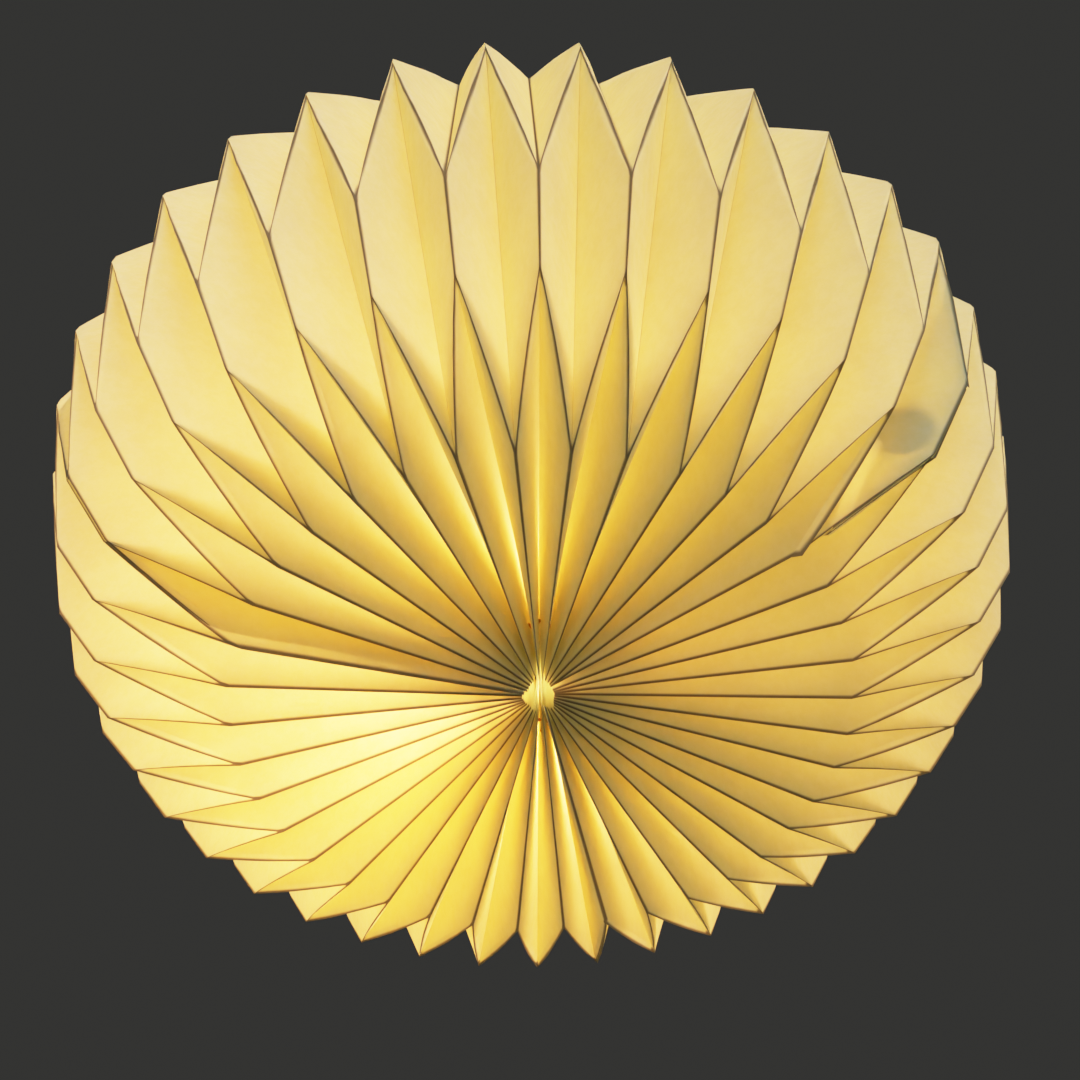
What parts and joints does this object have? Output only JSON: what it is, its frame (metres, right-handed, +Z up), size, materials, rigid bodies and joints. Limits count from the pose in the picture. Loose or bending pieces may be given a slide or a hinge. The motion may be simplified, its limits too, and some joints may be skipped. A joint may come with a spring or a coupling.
{
  "type": "paper lantern",
  "caption": "Round pleated paper pendant lantern, glued from folded sheets gathered on threads, with a lamp holder, shade rings, a bulb and a cord grip.",
  "frame": {"origin": "mouth of the cord grip on the lantern's upright axis, where the flex that carries it enters", "axes": "+Z up, along the flex; -Y is the front; the seam that opens is on the +X side, a little to the front"},
  "size_m": [0.3899, 0.3904, 0.2729],
  "materials": {
    "paper": "matt fibrous paper, warm cream, translucent when lit from inside",
    "disc_fabric": "white hook-and-loop coin",
    "thread": "twisted cotton thread, orange",
    "white_plastic": "satin white",
    "porcelain": "unglazed, white",
    "brass": "plain",
    "steel": "zinc plated",
    "clear_nylon": "milky nylon",
    "opal": "opal diffuser, lit",
    "bulb_plastic": "white",
    "nickel": "bright",
    "black_insulator": "black",
    "board": "white-coated board",
    "led": "phosphor",
    "driver": "green board with parts"
  },
  "bodies": {
    "lantern": {"paper_sheet_right": "paper", "paper_sheet_left": "paper", "paper_sheet_front": "paper", "closing_discs_outer": "disc_fabric", "closing_discs_inner": "disc_fabric", "bottom_gathering_thread": "thread", "top_gathering_thread": "thread", "holder_shell": "white_plastic", "holder_core": "porcelain", "holder_screw_shell": "brass", "centre_contact": "brass", "terminal_blocks": "brass", "terminal_screws": "steel", "holder_cap": "white_plastic", "cord_grip": "clear_nylon", "cord_grip_screw": "clear_nylon", "upper_shade_ring": "white_plastic"},
    "washer": {"ring_washer": "steel"},
    "lower_ring": {"lower_shade_ring": "white_plastic"},
    "bulb": {"bulb_diffuser": "opal", "bulb_housing": "bulb_plastic", "bulb_screw_cap": "nickel", "bulb_insulator": "black_insulator", "bulb_end_contact": "nickel", "led_board": "board", "led_chips": "led", "led_driver": "driver"}
  },
  "joints": [
    {"name": "washer_slide", "type": "slide", "parent": "lantern", "child": "washer", "axis": [0, 0, -1], "range_m": [0, 0.014]},
    {"name": "lower_ring_screw", "type": "hinge", "parent": "washer", "child": "lower_ring", "pos_m": [0, 0, -0.088], "axis": [0, 0, -1], "range_deg": [0, 2016]},
    {"name": "bulb_unscrew", "type": "hinge", "parent": "lantern", "child": "bulb", "pos_m": [0, 0, -0.08], "axis": [0, 0, -1], "range_deg": [0, 900]}
  ],
  "couplings": [
    {"joint": "washer_slide", "follows": "lower_ring_screw", "m_per_rad": 0.00039789}
  ]
}
